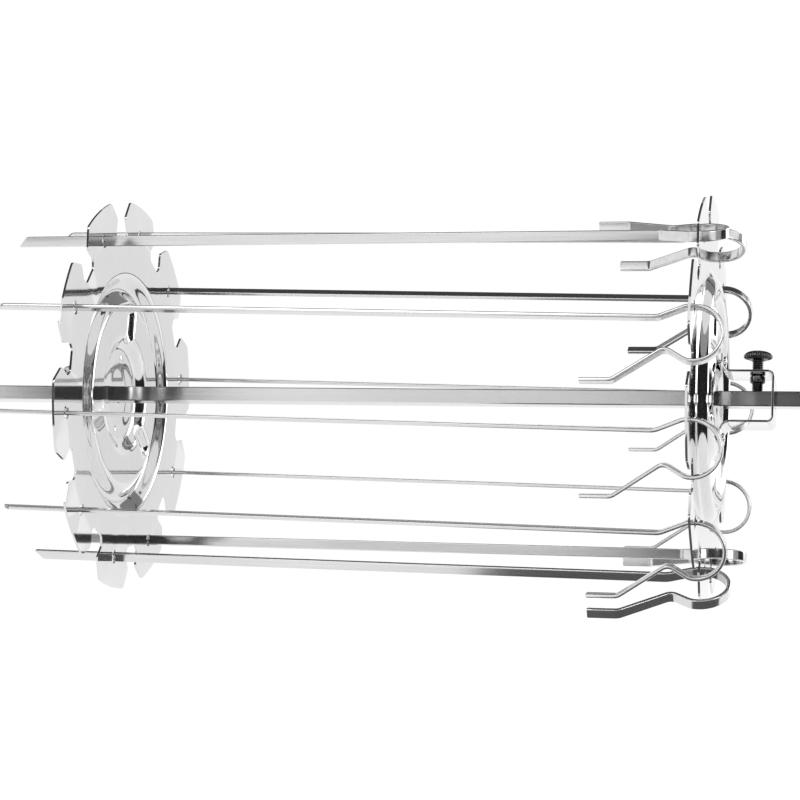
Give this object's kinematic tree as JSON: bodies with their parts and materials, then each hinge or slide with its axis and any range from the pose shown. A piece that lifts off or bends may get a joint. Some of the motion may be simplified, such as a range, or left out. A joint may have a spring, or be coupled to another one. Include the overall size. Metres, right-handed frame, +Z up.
{
  "type": "rotisserie skewer cage",
  "caption": "Rotisserie spit with notched end wheels clamped to a square rod, holding flat spring-clip skewers parallel to it.",
  "frame": {"origin": "centre of the square spit's flat drive end", "axes": "+X out of the drive end along the spit, +Z up through the wheels' top notches, -Y the side that the picture shows"},
  "size_m": [0.6, 0.213, 0.2104],
  "materials": {
    "spit_steel": "drawn bar, brushed lengthwise",
    "wheel_steel": "mirror-polished pressed stainless sheet",
    "bracket_steel": "polished stainless strip",
    "skewer_steel": "satin flat stainless strip",
    "screw_black": "dark plated steel"
  },
  "bodies": {
    "spit": {"spit_rod": "spit_steel"},
    "right_hub": {"right_wheel": "wheel_steel", "right_bracket": "bracket_steel", "right_screw_collar": "screw_black"},
    "left_hub": {"left_wheel": "wheel_steel", "left_bracket": "bracket_steel", "left_screw_collar": "screw_black"},
    "right_screw": {"right_screw_stud": "screw_black"},
    "right_knob": {"right_screw_knob": "screw_black"},
    "left_screw": {"left_screw_stud": "screw_black"},
    "left_knob": {"left_screw_knob": "screw_black"},
    "skewer_01": {"skewer_01": "skewer_steel"},
    "skewer_02": {"skewer_02": "skewer_steel"},
    "skewer_03": {"skewer_03": "skewer_steel"},
    "skewer_04": {"skewer_04": "skewer_steel"},
    "skewer_05": {"skewer_05": "skewer_steel"},
    "skewer_06": {"skewer_06": "skewer_steel"},
    "skewer_07": {"skewer_07": "skewer_steel"},
    "skewer_08": {"skewer_08": "skewer_steel"},
    "skewer_09": {"skewer_09": "skewer_steel"},
    "skewer_10": {"skewer_10": "skewer_steel"}
  },
  "joints": [
    {"name": "cage_slide", "type": "slide", "parent": "spit", "child": "right_hub", "axis": [1, 0, 0], "range_m": [-0.04, 0.04]},
    {"name": "left_wheel_slide", "type": "slide", "parent": "right_hub", "child": "left_hub", "axis": [1, 0, 0], "range_m": [-0.03, 0.04]},
    {"name": "right_screw_travel", "type": "slide", "parent": "right_hub", "child": "right_screw", "axis": [0, 0.309, 0.9511], "range_m": [0, 0.006]},
    {"name": "right_screw_turn", "type": "hinge", "parent": "right_screw", "child": "right_knob", "pos_m": [-0.1151, 0.0068, 0.02092], "axis": [0, 0.309, 0.9511], "range_deg": [0, 2160]},
    {"name": "left_screw_travel", "type": "slide", "parent": "left_hub", "child": "left_screw", "axis": [0, 0.309, 0.9511], "range_m": [0, 0.006]},
    {"name": "left_screw_turn", "type": "hinge", "parent": "left_screw", "child": "left_knob", "pos_m": [-0.4849, 0.0068, 0.02092], "axis": [0, 0.309, 0.9511], "range_deg": [0, 2160]},
    {"name": "clip_swing_01", "type": "hinge", "parent": "right_hub", "child": "skewer_01", "pos_m": [-0.14, -0.02781, 0.0856], "axis": [1, 0, 0], "range_deg": [-1, 55]},
    {"name": "clip_swing_02", "type": "hinge", "parent": "right_hub", "child": "skewer_02", "pos_m": [-0.14, -0.07281, 0.0529], "axis": [-1, 0, 0], "range_deg": [-1, 55]},
    {"name": "clip_swing_03", "type": "hinge", "parent": "right_hub", "child": "skewer_03", "pos_m": [-0.14, -0.09, 0], "axis": [-1, 0, 0], "range_deg": [-11, 45]},
    {"name": "clip_swing_04", "type": "hinge", "parent": "right_hub", "child": "skewer_04", "pos_m": [-0.14, -0.07281, -0.0529], "axis": [-1, 0, 0], "range_deg": [-44, 14]},
    {"name": "clip_swing_05", "type": "hinge", "parent": "right_hub", "child": "skewer_05", "pos_m": [-0.14, -0.02781, -0.0856], "axis": [1, 0, 0], "range_deg": [-4, 5]},
    {"name": "clip_swing_06", "type": "hinge", "parent": "right_hub", "child": "skewer_06", "pos_m": [-0.14, 0.02781, -0.0856], "axis": [-1, 0, 0], "range_deg": [-4, 12]},
    {"name": "clip_swing_07", "type": "hinge", "parent": "right_hub", "child": "skewer_07", "pos_m": [-0.14, 0.07281, -0.0529], "axis": [1, 0, 0], "range_deg": [-44, 14]},
    {"name": "clip_swing_08", "type": "hinge", "parent": "right_hub", "child": "skewer_08", "pos_m": [-0.14, 0.09, 0], "axis": [1, 0, 0], "range_deg": [-11, 45]},
    {"name": "clip_swing_09", "type": "hinge", "parent": "right_hub", "child": "skewer_09", "pos_m": [-0.14, 0.07281, 0.0529], "axis": [1, 0, 0], "range_deg": [-1, 55]},
    {"name": "clip_swing_10", "type": "hinge", "parent": "right_hub", "child": "skewer_10", "pos_m": [-0.14, 0.02781, 0.0856], "axis": [1, 0, 0], "range_deg": [-1, 55]}
  ],
  "couplings": [
    {"joint": "right_screw_turn", "follows": "right_screw_travel", "rad_per_m": 6283.2},
    {"joint": "left_screw_turn", "follows": "left_screw_travel", "rad_per_m": 6283.2}
  ]
}
